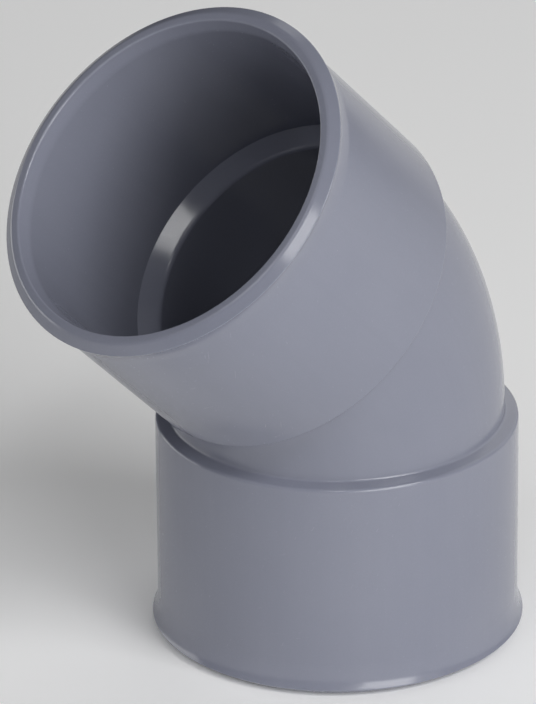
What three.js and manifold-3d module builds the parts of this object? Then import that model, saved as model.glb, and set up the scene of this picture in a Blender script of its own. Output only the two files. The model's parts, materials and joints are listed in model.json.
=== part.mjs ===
// A 45 degree elbow for 50 mm plastic drain pipe, with a socket at each end.
//
// Frame: millimetres, +Z up. The elbow stands on the rim of its lower socket, whose axis is vertical.
// The bend leans towards -X, and Y = 0 is the plane of symmetry. The origin is under the middle of the
// elbow's bounding box.
//
// The elbow is one moulding, divided here into its named zones. Both ends are alike. From the mouth
// inwards an end is a mouth bead, a socket sleeve, a shoulder and a pipe stop, and the bend joins the
// two ends. Neighbouring zones keep a fitting gap and meet in steps, so no gap runs straight through
// the wall.
//
// Every end is drawn as half sections of points (r, s): r is the distance from the socket's axis, and
// s is the distance inwards from the mouth.
import * as THREE from 'three';
import { mergeVertices } from 'three/addons/utils/BufferGeometryUtils.js';
import Module from 'manifold-3d';

// Driving dimensions. Names that end in R are radii, and the other lengths are counted from the mouth.
const PIPE_R = 25;
const PIPE_CLEARANCE = 0.1;
const SOCKET_WALL = 2.5;
const BEND_WALL = 3.2;
const BEND_BORE_R = 22.3;
const BEND_CENTRE_R = 33.6;
const BEND_ANGLE = THREE.MathUtils.degToRad(45);
const BEND_START = 35;

// The rim has a narrow flat land. It rounds off inwards to the lead-in, and outwards to a bevel.
const RIM = { innerR: 25.72, innerRound: 0.3, landInnerR: 26, landOuterR: 26.7, kneeR: 26.95, leadInEnd: 2.3 };

// The bevel falls to the lip, which stands proud of the sleeve, and a hollow cove leads back from it.
const LIP = { bevelR: 27.3, bevel: 0.26, r: 28.5, top: 1.15 };
const COVE = { kneeR: 27.75, knee: 2.25, end: 5.1 };

// The shoulder slopes from the sleeve to the bend, with its outer edge rounded.
const SHOULDER = { edge: 34.1, edgeRound: 0.5 };

// The stop is a cone that the outer edge of the pipe's end meets. Its inner edge is eased, and its back is
// a cone too.
const STOP = { face: 32.4, coneEndR: 22.8, coneEnd: 34.1, knee: 34.5, easeEnd: 34.9 };
const STOP_BACK = { outer: 33.6, inner: 35.6 };

// Where zones meet, they keep a gap and overlap lengthwise at a step halfway through the wall.
const JOINT = { gap: 0.3, stepR: 26.2, stepLength: 1.1 };

// Fineness
const SIDES = 60;
const CURVE_STEPS = 3;
const BEND_STEPS = 8;

// Worked out from the above
const SOCKET_BORE_R = PIPE_R + PIPE_CLEARANCE;
const SOCKET_R = SOCKET_BORE_R + SOCKET_WALL;
const BEND_R = BEND_BORE_R + BEND_WALL;
const MOUTH_TO_CORNER = BEND_START + BEND_CENTRE_R * Math.tan(BEND_ANGLE / 2);
const OUTER_STEP_R = JOINT.stepR + JOINT.gap;

const GREY_PVC = { color: 0x8d8f9b, roughness: 0.3, metalness: 0 };

const wasm = await Module();
wasm.setup();

function namedMesh(name, geometry) {
  const mesh = new THREE.Mesh(geometry, new THREE.MeshStandardMaterial(GREY_PVC));
  mesh.name = name;
  return mesh;
}

// Revolves a closed half section about the Z axis.
function revolve(section) {
  const geometry = new THREE.LatheGeometry(section.getPoints(CURVE_STEPS), SIDES);
  return geometry.rotateX(Math.PI / 2);
}

// The rim with its lead-in, and the cove behind the lip, which reaches back over the sleeve.
function mouthBeadSection() {
  const leadInSlope = (RIM.innerR - SOCKET_BORE_R) / RIM.leadInEnd;
  const section = new THREE.Path();
  section.moveTo(SOCKET_BORE_R, RIM.leadInEnd);
  section.lineTo(RIM.innerR - leadInSlope * RIM.innerRound, RIM.innerRound);
  section.quadraticCurveTo(RIM.innerR, 0, RIM.landInnerR, 0);
  section.lineTo(RIM.landOuterR, 0);
  section.quadraticCurveTo(RIM.kneeR, 0, LIP.bevelR, LIP.bevel);
  section.lineTo(LIP.r, LIP.top);
  section.quadraticCurveTo(COVE.kneeR, COVE.knee, SOCKET_R, COVE.end);
  section.lineTo(OUTER_STEP_R, COVE.end);
  section.lineTo(OUTER_STEP_R, RIM.leadInEnd);
  section.closePath();
  return section;
}

// The plain wall that the pipe slides into, stepped on the outside at both ends.
function sleeveSection() {
  const innerStart = RIM.leadInEnd + JOINT.gap;
  const outerStart = COVE.end + JOINT.gap;
  const innerEnd = STOP.face - JOINT.gap;
  const outerEnd = innerEnd - JOINT.stepLength;
  const section = new THREE.Path();
  section.moveTo(SOCKET_BORE_R, innerEnd);
  section.lineTo(SOCKET_BORE_R, innerStart);
  section.lineTo(JOINT.stepR, innerStart);
  section.lineTo(JOINT.stepR, outerStart);
  section.lineTo(SOCKET_R, outerStart);
  section.lineTo(SOCKET_R, outerEnd);
  section.lineTo(JOINT.stepR, outerEnd);
  section.lineTo(JOINT.stepR, innerEnd);
  section.closePath();
  return section;
}

// The ring that closes the socket around the bend's end.
function shoulderSection() {
  const slope = (BEND_START - SHOULDER.edge) / (SOCKET_R - BEND_R);
  const outerStart = STOP.face - JOINT.stepLength;
  const roundStart = SHOULDER.edge - SHOULDER.edgeRound;
  const roundEndR = SOCKET_R - SHOULDER.edgeRound;
  const section = new THREE.Path();
  section.moveTo(BEND_R + JOINT.gap, STOP.face);
  section.lineTo(OUTER_STEP_R, STOP.face);
  section.lineTo(OUTER_STEP_R, outerStart);
  section.lineTo(SOCKET_R, outerStart);
  section.lineTo(SOCKET_R, roundStart);
  section.quadraticCurveTo(SOCKET_R, SHOULDER.edge, roundEndR, SHOULDER.edge + slope * SHOULDER.edgeRound);
  section.lineTo(BEND_R + JOINT.gap, BEND_START - slope * JOINT.gap);
  section.closePath();
  return section;
}

// The ring that the end of the pipe comes to rest on.
function pipeStopSection() {
  const section = new THREE.Path();
  section.moveTo(BEND_R, STOP.face);
  section.lineTo(BEND_R, STOP_BACK.outer);
  section.lineTo(BEND_BORE_R, STOP_BACK.inner);
  section.lineTo(BEND_BORE_R, STOP.easeEnd);
  section.quadraticCurveTo(BEND_BORE_R, STOP.knee, STOP.coneEndR, STOP.coneEnd);
  section.lineTo(SOCKET_BORE_R, STOP.face);
  section.closePath();
  return section;
}

function socketEnd(prefix) {
  const end = new THREE.Group();
  end.add(
    namedMesh(`${prefix}_mouth_bead`, revolve(mouthBeadSection())),
    namedMesh(`${prefix}_socket_sleeve`, revolve(sleeveSection())),
    namedMesh(`${prefix}_shoulder`, revolve(shoulderSection())),
    namedMesh(`${prefix}_pipe_stop`, revolve(pipeStopSection())),
  );
  return end;
}

// The centre line of the bend, with a straight lead at each end that reaches into the shoulder.
class BendCentreLine extends THREE.Curve {
  constructor() {
    super();
    this.lead = BEND_START - STOP.face;
    this.arcLength = BEND_CENTRE_R * BEND_ANGLE;
  }

  // How far round the arc a place lies, and how far past either end of the arc.
  place(t) {
    const along = t * (this.arcLength + 2 * this.lead) - this.lead;
    const onArc = THREE.MathUtils.clamp(along, 0, this.arcLength);
    return { angle: onArc / BEND_CENTRE_R, past: along - onArc };
  }

  getPoint(t) {
    const { angle, past } = this.place(t);
    const x = BEND_CENTRE_R * (Math.cos(angle) - 1) - past * Math.sin(angle);
    const z = BEND_START + BEND_CENTRE_R * Math.sin(angle) + past * Math.cos(angle);
    return new THREE.Vector3(x, 0, z);
  }

  getTangent(t) {
    const { angle } = this.place(t);
    return new THREE.Vector3(-Math.sin(angle), 0, Math.cos(angle));
  }
}

function bendTube() {
  const ring = new THREE.Shape().absarc(0, 0, BEND_R, 0, 2 * Math.PI);
  ring.holes.push(new THREE.Path().absarc(0, 0, BEND_BORE_R, 0, 2 * Math.PI));
  return new THREE.ExtrudeGeometry(ring, {
    extrudePath: new BendCentreLine(),
    steps: BEND_STEPS,
    // A round outline is drawn with two sides for each curve segment.
    curveSegments: SIDES / 2,
  });
}

// The space that the bend's end keeps clear of: all that lies before a cone a gap behind the pipe stop.
function seatCutter() {
  const backSlope = (STOP_BACK.inner - STOP_BACK.outer) / BEND_WALL;
  const seatOuter = STOP_BACK.outer + JOINT.gap;
  const section = new THREE.Path();
  section.moveTo(0, 0);
  section.lineTo(SOCKET_R, 0);
  section.lineTo(SOCKET_R, seatOuter - backSlope * (SOCKET_R - BEND_R));
  section.lineTo(0, seatOuter + backSlope * BEND_R);
  section.closePath();
  return revolve(section);
}

function toSolid(geometry, placement = new THREE.Matrix4()) {
  const bare = geometry.clone().applyMatrix4(placement);
  bare.deleteAttribute('normal');
  bare.deleteAttribute('uv');
  const welded = mergeVertices(bare);
  return new wasm.Manifold(new wasm.Mesh({
    numProp: 3,
    vertProperties: new Float32Array(welded.attributes.position.array),
    triVerts: new Uint32Array(welded.index.array),
  }));
}

function toGeometry(solid) {
  const { vertProperties, triVerts } = solid.getMesh();
  const geometry = new THREE.BufferGeometry();
  geometry.setAttribute('position', new THREE.BufferAttribute(vertProperties, 3));
  geometry.setIndex(new THREE.BufferAttribute(triVerts, 1));
  geometry.computeVertexNormals();
  return geometry;
}

// The bend's wall is trimmed at both ends to sit behind the conical backs of the pipe stops.
function bend(upperPlacement) {
  const tube = toSolid(bendTube());
  const lowerSeat = toSolid(seatCutter());
  const upperSeat = toSolid(seatCutter(), upperPlacement);
  return namedMesh('bend', toGeometry(tube.subtract(lowerSeat).subtract(upperSeat)));
}

// The lower end stands upright. The upper end is the same, turned over so that it meets the bend.
function buildElbow() {
  const lower = socketEnd('lower');
  const upper = socketEnd('upper');
  upper.rotation.y = Math.PI - BEND_ANGLE;
  upper.position.x = -MOUTH_TO_CORNER * Math.sin(BEND_ANGLE);
  upper.position.z = MOUTH_TO_CORNER * (1 + Math.cos(BEND_ANGLE));
  upper.updateMatrix();

  const elbow = new THREE.Group();
  elbow.add(lower, bend(upper.matrix), upper);
  return elbow;
}

const elbow = buildElbow();
const box = new THREE.Box3().setFromObject(elbow, true);
elbow.position.x = -(box.min.x + box.max.x) / 2;

export default elbow;
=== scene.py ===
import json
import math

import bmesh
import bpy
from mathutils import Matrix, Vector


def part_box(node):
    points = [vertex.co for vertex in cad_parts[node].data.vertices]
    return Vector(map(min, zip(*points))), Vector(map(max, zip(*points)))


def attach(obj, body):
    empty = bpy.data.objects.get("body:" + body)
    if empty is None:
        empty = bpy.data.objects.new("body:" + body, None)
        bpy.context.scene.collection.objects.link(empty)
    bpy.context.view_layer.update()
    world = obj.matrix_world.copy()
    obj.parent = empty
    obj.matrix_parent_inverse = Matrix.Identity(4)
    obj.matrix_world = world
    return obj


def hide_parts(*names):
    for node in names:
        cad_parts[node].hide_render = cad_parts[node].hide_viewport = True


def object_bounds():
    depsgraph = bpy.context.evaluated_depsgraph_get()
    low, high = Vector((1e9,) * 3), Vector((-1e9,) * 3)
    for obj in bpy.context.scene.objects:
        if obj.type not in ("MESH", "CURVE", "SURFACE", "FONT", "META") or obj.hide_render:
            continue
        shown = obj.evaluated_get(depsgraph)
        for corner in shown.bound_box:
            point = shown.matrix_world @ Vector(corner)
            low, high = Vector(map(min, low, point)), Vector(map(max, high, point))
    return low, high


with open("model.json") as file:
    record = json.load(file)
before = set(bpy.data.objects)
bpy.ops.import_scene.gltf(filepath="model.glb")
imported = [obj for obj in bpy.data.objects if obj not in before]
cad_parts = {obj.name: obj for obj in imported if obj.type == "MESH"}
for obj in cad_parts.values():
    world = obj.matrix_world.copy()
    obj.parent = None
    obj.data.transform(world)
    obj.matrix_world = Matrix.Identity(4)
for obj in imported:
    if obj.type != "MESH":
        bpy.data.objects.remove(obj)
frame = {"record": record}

# The looks of a 45 degree elbow for 50 mm drain pipe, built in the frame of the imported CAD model.
#
# The elbow is one moulding. Its nine pieces stand for the nine CAD nodes, and their surfaces run on from
# one piece to the next without a gap. Each end of the elbow is drawn as half sections of points (r, s) in
# millimetres: r is the distance from the socket's axis, and s is the distance inwards from the mouth.
# Names that end in _R are radii. The elbow's lengths are in millimetres until they are multiplied by MM.

MM = 0.001
cad_low, cad_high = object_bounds()
record = frame["record"]


# ---------------------------------------------------------------- sizes from the frame

def mount(name):
    return next(each for each in record["mounts"] if each["name"] == name)


def outer_radius(node):
    low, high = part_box(node)
    return (high.y - low.y) / 2 / MM


lower_rim = mount("lower_rim")
upper_rim = mount("upper_rim")
bead_low, bead_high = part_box("lower_mouth_bead")

LIP_R = outer_radius("lower_mouth_bead")
SOCKET_R = outer_radius("lower_socket_sleeve")
BEND_R = outer_radius("lower_pipe_stop")
STOP_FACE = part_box("lower_pipe_stop")[0].z / MM
COVE_END = bead_high.z / MM
SHOULDER_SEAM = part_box("lower_shoulder")[0].z / MM

AXIS_X = (bead_low.x + bead_high.x) / 2 / MM
UPPER_AXIS = Vector(upper_rim["axis"])
BEND_ANGLE = UPPER_AXIS.angle(Vector((0, 0, 1)))
RIM_MOUNT_R = lower_rim["pos_m"][0] / MM - AXIS_X
ACROSS_UPPER = Vector((UPPER_AXIS.z, 0, -UPPER_AXIS.x))
UPPER_MOUTH = Vector(upper_rim["pos_m"]) / MM - RIM_MOUNT_R * ACROSS_UPPER
MOUTH_TO_CORNER = (AXIS_X - UPPER_MOUTH.x) / math.sin(BEND_ANGLE)

# Walls and bores, which no box of the frame shows
SOCKET_WALL = 2.5
BEND_WALL = 3.2
BEND_START = 35.0
SOCKET_BORE_R = SOCKET_R - SOCKET_WALL
BEND_BORE_R = BEND_R - BEND_WALL
BEND_CENTRE_R = (MOUTH_TO_CORNER - BEND_START) / math.tan(BEND_ANGLE / 2)
BEND_LENGTH = BEND_CENTRE_R * BEND_ANGLE
WHOLE_LENGTH = 2 * BEND_START + BEND_LENGTH

# The rim round the mouth, with its narrow flat land, and the lead-in that runs down from it to the bore
RIM_INNER_R = 25.72
RIM_INNER_ROUND = 0.3
RIM_LAND_INNER_R = 26.0
RIM_LAND_OUTER_R = 26.7
RIM_KNEE_R = 26.95
LEAD_IN_END = 2.3
LEAD_IN_ROUND = 0.5

# The bevel that falls from the rim to the lip, and the cove from the lip back to the socket
BEVEL_R = 27.3
BEVEL = 0.26
LIP_TOP = 1.15
LIP_ROUND = 0.16
COVE_KNEE_R = 27.75
COVE_KNEE = 2.25

# The shoulder, and the crease where it meets the bend
SHOULDER_EDGE = 34.1
SHOULDER_ROUND = 0.5
CREASE_ROUND = 0.35

# The pipe stop: a cone that eases into the bend's bore
STOP_CONE_END_R = 22.8
STOP_CONE_END = 34.1
STOP_KNEE = 34.5
STOP_EASE_END = 34.9

# Pieces of the moulding meet at steps halfway through the wall, a little beyond the bead's own features.
LAP_R = SOCKET_R - SOCKET_WALL / 2
PAST_COVE = 0.15
PAST_LEAD_IN = 0.1
BEAD_SEAM = COVE_END + PAST_COVE
BEAD_LAP = LEAD_IN_END + LEAD_IN_ROUND + PAST_LEAD_IN

# Fineness of the meshes
SIDES = 160
CURVE_STEPS = 12
BEND_STEPS = 40
LONGEST_STEP = 2.0
EDGE_SUPPORT = 0.12
SHARP_ANGLE = math.radians(32)


# ---------------------------------------------------------------- half sections

class Section:
    """A closed half section, drawn point by point."""

    def __init__(self, r, s):
        self.points = [(r, s)]

    def line(self, r, s):
        """A straight run, with a support point near each end so that it shades flat."""
        r0, s0 = self.points[-1]
        length = math.hypot(r - r0, s - s0)
        support = min(EDGE_SUPPORT, length / 3)
        middle = max(1, math.ceil((length - 2 * support) / LONGEST_STEP))
        places = [support + (length - 2 * support) * k / middle for k in range(middle + 1)]
        for along in places:
            self.points.append((r0 + (r - r0) * along / length, s0 + (s - s0) * along / length))
        self.points.append((r, s))

    def curve(self, knee_r, knee_s, r, s):
        """A quadratic curve that leaves towards its knee and arrives from it."""
        r0, s0 = self.points[-1]
        for k in range(1, CURVE_STEPS + 1):
            done = k / CURVE_STEPS
            start = (1 - done) ** 2
            knee = 2 * done * (1 - done)
            end = done ** 2
            here_r = start * r0 + knee * knee_r + end * r
            here_s = start * s0 + knee * knee_s + end * s
            self.points.append((here_r, here_s))

    def corner(self, r, s, reach, towards):
        """A straight run towards (r, s), and a round of the given reach there that turns towards a point."""
        r0, s0 = self.points[-1]
        next_r, next_s = towards
        before = reach / math.hypot(r - r0, s - s0)
        after = reach / math.hypot(next_r - r, next_s - s)
        self.line(r + (r0 - r) * before, s + (s0 - s) * before)
        self.curve(r, s, r + (next_r - r) * after, s + (next_s - s) * after)

    def closed(self):
        """The points, after a straight run back to the first."""
        r, s = self.points[0]
        self.line(r, s)
        return self.points[:-1]


def mouth_bead_section():
    lead_in_slope = (RIM_INNER_R - SOCKET_BORE_R) / LEAD_IN_END
    section = Section(SOCKET_BORE_R, BEAD_LAP)
    section.line(SOCKET_BORE_R, LEAD_IN_END + LEAD_IN_ROUND)
    section.curve(SOCKET_BORE_R, LEAD_IN_END, SOCKET_BORE_R + lead_in_slope * LEAD_IN_ROUND,
                  LEAD_IN_END - LEAD_IN_ROUND)
    section.line(RIM_INNER_R - lead_in_slope * RIM_INNER_ROUND, RIM_INNER_ROUND)
    section.curve(RIM_INNER_R, 0, RIM_LAND_INNER_R, 0)
    section.line(RIM_LAND_OUTER_R, 0)
    section.curve(RIM_KNEE_R, 0, BEVEL_R, BEVEL)
    section.corner(LIP_R, LIP_TOP, LIP_ROUND, (COVE_KNEE_R, COVE_KNEE))
    section.curve(COVE_KNEE_R, COVE_KNEE, SOCKET_R, COVE_END)
    section.line(SOCKET_R, BEAD_SEAM)
    section.line(LAP_R, BEAD_SEAM)
    section.line(LAP_R, BEAD_LAP)
    return section.closed()


def sleeve_section():
    section = Section(SOCKET_BORE_R, STOP_FACE)
    section.line(SOCKET_BORE_R, BEAD_LAP)
    section.line(LAP_R, BEAD_LAP)
    section.line(LAP_R, BEAD_SEAM)
    section.line(SOCKET_R, BEAD_SEAM)
    section.line(SOCKET_R, SHOULDER_SEAM)
    section.line(LAP_R, SHOULDER_SEAM)
    section.line(LAP_R, STOP_FACE)
    return section.closed()


def shoulder_section():
    section = Section(BEND_R, STOP_FACE)
    section.line(LAP_R, STOP_FACE)
    section.line(LAP_R, SHOULDER_SEAM)
    section.line(SOCKET_R, SHOULDER_SEAM)
    section.corner(SOCKET_R, SHOULDER_EDGE, SHOULDER_ROUND, (BEND_R, BEND_START - CREASE_ROUND))
    section.corner(BEND_R, BEND_START - CREASE_ROUND, CREASE_ROUND, (BEND_R, BEND_START))
    return section.closed()


def pipe_stop_section():
    section = Section(BEND_R, STOP_FACE)
    section.line(BEND_R, BEND_START)
    section.line(BEND_BORE_R, BEND_START)
    section.line(BEND_BORE_R, STOP_EASE_END)
    section.curve(BEND_BORE_R, STOP_KNEE, STOP_CONE_END_R, STOP_CONE_END)
    section.line(SOCKET_BORE_R, STOP_FACE)
    return section.closed()


# ---------------------------------------------------------------- places along the elbow

def place_lower(across, along, s):
    """A point of the lower end. across lies in the plane of the bend and along at right angles to it."""
    return Vector((AXIS_X + across, along, s)) * MM


def place_upper(across, along, s):
    """The same point of the upper end."""
    return (UPPER_MOUTH - s * UPPER_AXIS + across * ACROSS_UPPER + Vector((0, along, 0))) * MM


def place_bend(across, along, angle):
    """A point of the bend, at an angle from its lower end."""
    centre_x = AXIS_X - BEND_CENTRE_R
    reach = BEND_CENTRE_R + across
    return Vector((centre_x + reach * math.cos(angle), along, BEND_START + reach * math.sin(angle))) * MM


# ---------------------------------------------------------------- meshes

def finish_mesh(name, bm, straight_places):
    """Makes the object. The material reads where each vertex lies on the straightened moulding."""
    bmesh.ops.recalc_face_normals(bm, faces=bm.faces)
    mesh = bpy.data.meshes.new(name)
    for face in bm.faces:
        face.smooth = True
    bm.to_mesh(mesh)
    bm.free()
    mesh.set_sharp_from_angle(angle=SHARP_ANGLE)
    straight = mesh.attributes.new("straight", "FLOAT_VECTOR", "POINT")
    straight.data.foreach_set("vector", [value for place in straight_places for value in place])
    piece = bpy.data.objects.new(name, mesh)
    bpy.context.scene.collection.objects.link(piece)
    return piece


def join_rings(bm, rings):
    """Quads between each ring and the next, and from the last ring back to the first."""
    for this, following in zip(rings, rings[1:] + rings[:1]):
        for k in range(SIDES):
            beside = (k + 1) % SIDES
            bm.faces.new((this[k], this[beside], following[beside], following[k]))


def revolved(name, outline, place, straight_z):
    """Joins one ring for each (radius, station) of a closed outline. A station is what place takes: the
    distance from the mouth at an end of the elbow, or the angle in the bend."""
    bm = bmesh.new()
    rings = []
    straight_places = []
    for r, station in outline:
        ring = []
        for k in range(SIDES):
            turn = 2 * math.pi * k / SIDES
            across = r * math.cos(turn)
            along = r * math.sin(turn)
            ring.append(bm.verts.new(place(across, along, station)))
            straight_places.append((across * MM, along * MM, straight_z(station) * MM))
        rings.append(ring)
    join_rings(bm, rings)
    return finish_mesh(name, bm, straight_places)


def bend_tube():
    angles = [BEND_ANGLE * k / BEND_STEPS for k in range(BEND_STEPS + 1)]
    outside = [(BEND_R, angle) for angle in angles]
    inside = [(BEND_BORE_R, angle) for angle in reversed(angles)]
    return revolved("fine_bend", outside + inside, place_bend,
                    lambda angle: BEND_START + BEND_CENTRE_R * angle)


# ---------------------------------------------------------------- material

# The sockets that a Mix node uses for colours
MIX_AMOUNT = 0
MIX_FIRST_COLOUR = 6
MIX_SECOND_COLOUR = 7
MIX_COLOUR = 2


class Shading:
    """The node tree of one material, with short ways to add nodes to it."""

    def __init__(self, name):
        self.material = bpy.data.materials.new(name)
        self.material.use_nodes = True
        self.tree = self.material.node_tree
        self.shader = self.tree.nodes["Principled BSDF"]

    def add(self, kind, **settings):
        node = self.tree.nodes.new(kind)
        for setting, value in settings.items():
            setattr(node, setting, value)
        return node

    def put(self, socket, value):
        if isinstance(value, bpy.types.NodeSocket):
            self.tree.links.new(value, socket)
        else:
            socket.default_value = value

    def stretched(self, vector, lengths, turn=0.0):
        """Coordinates turned about X and Y, and then counted in the given lengths in millimetres."""
        node = self.add("ShaderNodeMapping", vector_type="TEXTURE")
        self.put(node.inputs["Vector"], vector)
        self.put(node.inputs["Rotation"], (turn, turn, 0.0))
        self.put(node.inputs["Scale"], tuple(MM * length for length in lengths))
        return node.outputs["Vector"]

    def noise(self, vector, detail, roughness=0.5):
        """Noise whose lumps are about one unit of its coordinates long."""
        node = self.add("ShaderNodeTexNoise")
        self.put(node.inputs["Vector"], vector)
        self.put(node.inputs["Scale"], 1.0)
        self.put(node.inputs["Detail"], detail)
        self.put(node.inputs["Roughness"], roughness)
        return node.outputs["Fac"]

    def ramp(self, value, start, end, low, high):
        """Goes from low to high as the value goes from start to end, and stays level outside them."""
        node = self.add("ShaderNodeMapRange", clamp=True)
        for socket, amount in zip(node.inputs, (value, start, end, low, high)):
            self.put(socket, amount)
        return node.outputs["Result"]

    def maths(self, operation, first, second):
        node = self.add("ShaderNodeMath", operation=operation)
        self.put(node.inputs[0], first)
        self.put(node.inputs[1], second)
        return node.outputs["Value"]

    def blend(self, amount, first, second):
        node = self.add("ShaderNodeMix", data_type="RGBA")
        self.put(node.inputs[MIX_AMOUNT], amount)
        self.put(node.inputs[MIX_FIRST_COLOUR], first)
        self.put(node.inputs[MIX_SECOND_COLOUR], second)
        return node.outputs[MIX_COLOUR]

    def brightened(self, colour, amount):
        node = self.add("ShaderNodeVectorMath", operation="SCALE")
        self.put(node.inputs["Vector"], colour)
        self.put(node.inputs["Scale"], amount)
        return node.outputs["Vector"]

    def bumped(self, height, millimetres, under=None):
        node = self.add("ShaderNodeBump")
        self.put(node.inputs["Height"], height)
        self.put(node.inputs["Distance"], millimetres * MM)
        if under:
            self.put(node.inputs["Normal"], under)
        return node.outputs["Normal"]


# Colours of the plastic
PVC_COOL = (0.214, 0.225, 0.284, 1)
PVC_PLAIN = (0.220, 0.229, 0.281, 1)
PVC_IOR = 1.54

# Lengths of the marks, first the two across the moulding and then the one along it, and turns in radians
CLOUD_LENGTHS = (14, 14, 22)
FLOW_LENGTHS = (1.6, 1.6, 26)
SPECKLE_LENGTHS = (0.25, 0.25, 0.25)
PEEL_LENGTHS = (0.9, 0.9, 0.9)
WAVE_LENGTHS = (9, 9, 13)
SCUFF_ONE_LENGTHS = (0.12, 0.12, 5)
SCUFF_TWO_LENGTHS = (0.1, 0.1, 4)
SCUFF_ONE_TURN = 0.35
SCUFF_TWO_TURN = 1.1

# Noise stays near one half. These are the parts of its range that the marks use.
NOISE_LOW = 0.3
NOISE_HIGH = 0.7
CLOUD_LOW = 0.35
CLOUD_HIGH = 0.65
SCUFF_START = 0.80
SCUFF_FULL = 0.86

# How much each mark changes the brightness, as a share of it
CLOUD_TINT = 0.015
FLOW_TINT = 0.008
SPECKLE_TINT = 0.012

# Roughness, and what clouds and scuffs add to it
SMOOTHEST = 0.145
ROUGHEST = 0.18
CLOUD_ROUGHNESS = 0.015
SCUFF_ROUGHNESS = 0.12

# Heights of the bumps
WAVE_HEIGHT = 0.035
PEEL_HEIGHT = 0.0012
SCUFF_HEIGHT = -0.003


def grey_pvc():
    """Glossy grey moulding. Its marks follow the straightened moulding, so they run through the bend."""
    pvc = Shading("grey_pvc")
    place = pvc.add("ShaderNodeAttribute", attribute_name="straight").outputs["Vector"]

    clouds = pvc.noise(pvc.stretched(place, CLOUD_LENGTHS), detail=3)
    flow = pvc.noise(pvc.stretched(place, FLOW_LENGTHS), detail=3, roughness=0.6)
    speckle = pvc.noise(pvc.stretched(place, SPECKLE_LENGTHS), detail=1)
    peel = pvc.noise(pvc.stretched(place, PEEL_LENGTHS), detail=2)
    waves = pvc.noise(pvc.stretched(place, WAVE_LENGTHS), detail=1)
    scuff_one = pvc.noise(pvc.stretched(place, SCUFF_ONE_LENGTHS, turn=SCUFF_ONE_TURN), detail=0)
    scuff_two = pvc.noise(pvc.stretched(place, SCUFF_TWO_LENGTHS, turn=SCUFF_TWO_TURN), detail=0)
    scuffs = pvc.maths("MAXIMUM", pvc.ramp(scuff_one, SCUFF_START, SCUFF_FULL, 0, 1),
                       pvc.ramp(scuff_two, SCUFF_START, SCUFF_FULL, 0, 1))

    tint = pvc.ramp(clouds, CLOUD_LOW, CLOUD_HIGH, 1 - CLOUD_TINT, 1 + CLOUD_TINT)
    streak = pvc.ramp(flow, NOISE_LOW, NOISE_HIGH, 1 - FLOW_TINT, 1 + FLOW_TINT)
    grain = pvc.ramp(speckle, NOISE_LOW, NOISE_HIGH, 1 - SPECKLE_TINT, 1 + SPECKLE_TINT)
    brightness = pvc.maths("MULTIPLY", pvc.maths("MULTIPLY", tint, streak), grain)
    colour = pvc.brightened(pvc.blend(clouds, PVC_COOL, PVC_PLAIN), brightness)
    pvc.put(pvc.shader.inputs["Base Color"], colour)

    flow_roughness = pvc.ramp(flow, NOISE_LOW, NOISE_HIGH, SMOOTHEST, ROUGHEST)
    cloud_roughness = pvc.ramp(clouds, NOISE_LOW, NOISE_HIGH, -CLOUD_ROUGHNESS, CLOUD_ROUGHNESS)
    scuff_roughness = pvc.maths("MULTIPLY", scuffs, SCUFF_ROUGHNESS)
    clean_roughness = pvc.maths("ADD", flow_roughness, cloud_roughness)
    pvc.put(pvc.shader.inputs["Roughness"], pvc.maths("ADD", clean_roughness, scuff_roughness))
    pvc.put(pvc.shader.inputs["IOR"], PVC_IOR)

    normal = pvc.bumped(waves, WAVE_HEIGHT)
    normal = pvc.bumped(peel, PEEL_HEIGHT, normal)
    normal = pvc.bumped(scuffs, SCUFF_HEIGHT, normal)
    pvc.put(pvc.shader.inputs["Normal"], normal)
    return pvc.material


# ---------------------------------------------------------------- studio

# The floor, with its half width in metres
FLOOR_HALF_WIDTH = 6.0
FLOOR_GREY = 0.92
FLOOR_ROUGHNESS = 0.8
FLOOR_GLOW = 0.07

# The camera, with its lens and sensor in millimetres and its distance and reach in metres
CAMERA_AZIMUTH = math.radians(-44.286)
CAMERA_ELEVATION = math.radians(24.688)
CAMERA_ROLL = math.radians(-0.548)
CAMERA_DISTANCE = 0.96308
CAMERA_LENS = 329.48
CAMERA_SENSOR = 36
CAMERA_REACH = 20
AIM_FROM_LOWER_MOUTH = Vector((-14.503, -0.031, 48.833)) * MM

# Each lamp: name, azimuth, elevation, width and height in metres, power in watts, and roll. Angles are in
# degrees. All the lamps are as far from the elbow, in metres.
LAMP_DISTANCE = 1.3
LAMPS = [
    ("key", -14, 17, 0.72, 0.68, 6.9, 0),
    ("key_wide", -10, 20, 1.4, 0.9, 2.6, 0),
    ("key_above", 2, 44, 0.55, 0.3, 6.0, 0),
    ("left", 202, 8, 1.0, 0.45, 3.3, 0),
    ("left_above", 262, 46, 0.9, 0.7, 2.2, 0),
    ("right_back", 104, 30, 1.4, 1.2, 5.0, 0),
    ("strip", -45, 45, 0.11, 0.44, 1.4, -31),
]


def direction(azimuth, elevation):
    """The unit vector from the elbow towards a camera or lamp. Azimuth 0 is -Y, and a quarter turn is +X."""
    level = math.cos(elevation)
    return Vector((math.sin(azimuth) * level, -math.cos(azimuth) * level, math.sin(elevation)))


def camera():
    data = bpy.data.cameras.new("camera")
    data.lens = CAMERA_LENS
    data.sensor_width = CAMERA_SENSOR
    data.clip_end = CAMERA_REACH
    view = bpy.data.objects.new("camera", data)
    bpy.context.scene.collection.objects.link(view)
    back = direction(CAMERA_AZIMUTH, CAMERA_ELEVATION)
    view.location = Vector((AXIS_X, 0, 0)) * MM + AIM_FROM_LOWER_MOUTH + back * CAMERA_DISTANCE
    level = back.to_track_quat("Z", "Y")
    view.rotation_mode = "QUATERNION"
    view.rotation_quaternion = level @ Matrix.Rotation(CAMERA_ROLL, 3, "Z").to_quaternion()
    bpy.context.scene.camera = view


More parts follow.
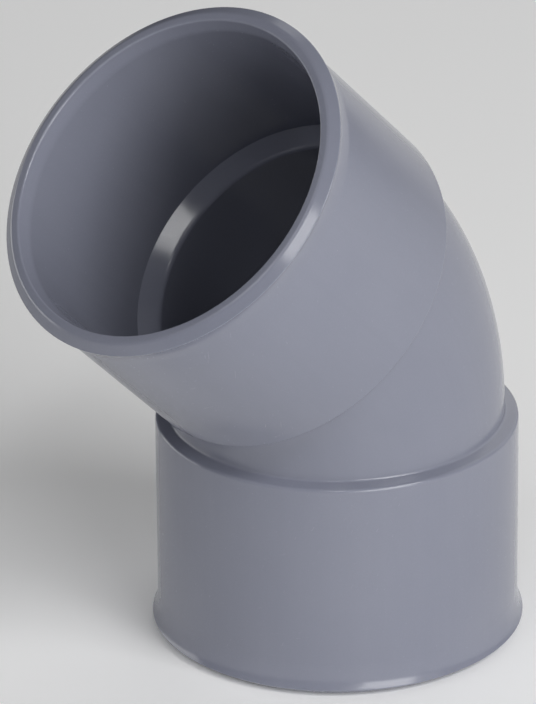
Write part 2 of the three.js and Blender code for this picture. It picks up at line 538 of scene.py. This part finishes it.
def soft_box(name, azimuth, elevation, width, height, power, roll):
    data = bpy.data.lights.new(name, "AREA")
    data.shape = "RECTANGLE"
    data.size = width
    data.size_y = height
    data.energy = power
    lamp = bpy.data.objects.new(name, data)
    bpy.context.scene.collection.objects.link(lamp)
    away = direction(math.radians(azimuth), math.radians(elevation))
    lamp.location = (cad_low + cad_high) / 2 + away * LAMP_DISTANCE
    lamp.rotation_mode = "QUATERNION"
    turn = Matrix.Rotation(math.radians(roll), 3, "Z").to_quaternion()
    lamp.rotation_quaternion = away.to_track_quat("Z", "Y") @ turn


def floor():
    """A plain pale floor with a faint glow, which softens the shadow."""
    bm = bmesh.new()
    corners = ((-1, -1), (1, -1), (1, 1), (-1, 1))
    bm.faces.new([bm.verts.new((x * FLOOR_HALF_WIDTH, y * FLOOR_HALF_WIDTH, 0)) for x, y in corners])
    mesh = bpy.data.meshes.new("floor")
    bm.to_mesh(mesh)
    bm.free()
    ground = bpy.data.objects.new("floor", mesh)
    bpy.context.scene.collection.objects.link(ground)
    material = bpy.data.materials.new("floor")
    material.use_nodes = True
    shader = material.node_tree.nodes["Principled BSDF"]
    shader.inputs["Base Color"].default_value = (FLOOR_GREY, FLOOR_GREY, FLOOR_GREY, 1)
    shader.inputs["Roughness"].default_value = FLOOR_ROUGHNESS
    shader.inputs["Emission Color"].default_value = (1, 1, 1, 1)
    shader.inputs["Emission Strength"].default_value = FLOOR_GLOW
    mesh.materials.append(material)


def dark_surroundings():
    """No light comes from around the studio, only from its lamps and its floor."""
    surroundings = bpy.data.worlds.new("studio")
    surroundings.use_nodes = True
    surroundings.node_tree.nodes["Background"].inputs["Strength"].default_value = 0.0
    bpy.context.scene.world = surroundings


# ---------------------------------------------------------------- the elbow and its studio

def build_end(prefix, place, straight_z):
    """The four pieces of one end of the elbow."""
    sections = {
        "mouth_bead": mouth_bead_section(),
        "socket_sleeve": sleeve_section(),
        "shoulder": shoulder_section(),
        "pipe_stop": pipe_stop_section(),
    }
    made = {}
    for part, section in sections.items():
        node = f"{prefix}_{part}"
        made[node] = revolved(f"fine_{node}", section, place, straight_z)
    return made


pieces = {
    **build_end("lower", place_lower, lambda s: s),
    **build_end("upper", place_upper, lambda s: WHOLE_LENGTH - s),
    "bend": bend_tube(),
}
plastic = grey_pvc()
for node, piece in pieces.items():
    piece.data.materials.append(plastic)
    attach(piece, "root")
    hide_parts(node)

camera()
floor()
dark_surroundings()
for lamp in LAMPS:
    soft_box(*lamp)

bpy.context.scene.view_settings.view_transform = "Standard"
